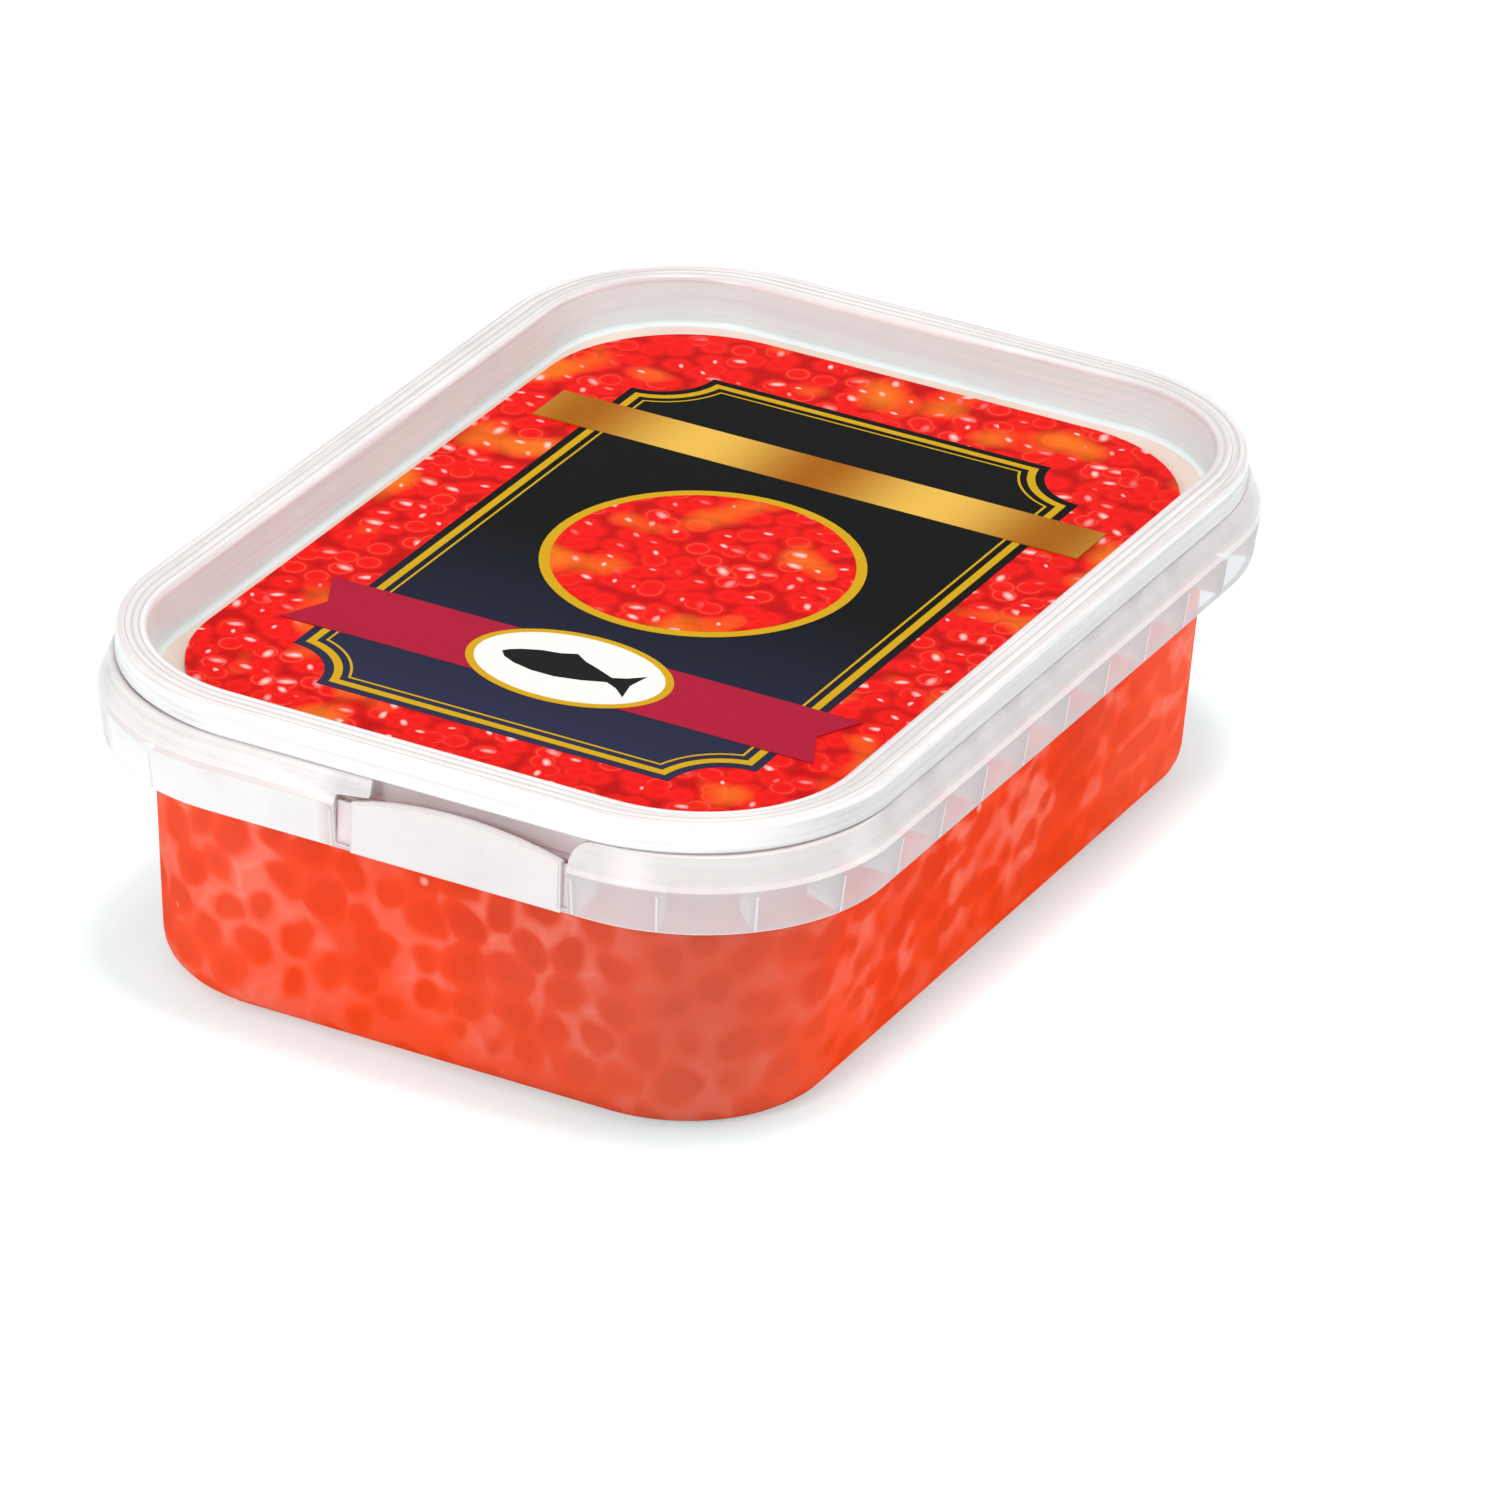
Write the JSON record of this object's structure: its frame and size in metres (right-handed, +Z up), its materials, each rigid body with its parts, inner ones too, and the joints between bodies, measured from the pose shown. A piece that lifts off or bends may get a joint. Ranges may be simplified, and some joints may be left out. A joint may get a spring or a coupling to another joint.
{
  "type": "tub of salmon roe",
  "caption": "Shut rectangular tub of translucent plastic filled with salmon roe, with a press-on lid, a ribbed collar with a tear tab, and a printed label in the lid's sunken panel.",
  "frame": {"origin": "centre of the tub's base, on the surface that it stands on", "axes": "+Y along the tub's length, away from the tear tab; +Z up"},
  "size_m": [0.1086, 0.152, 0.0465],
  "materials": {
    "tub_plastic": "satin, translucent",
    "lid_plastic": "satin, milky",
    "label_film": "gloss print",
    "roe_skin": "wet gloss"
  },
  "bodies": {
    "root": {"tub": "tub_plastic", "lid": "lid_plastic", "label": "label_film", "roe": "roe_skin"}
  },
  "joints": []
}
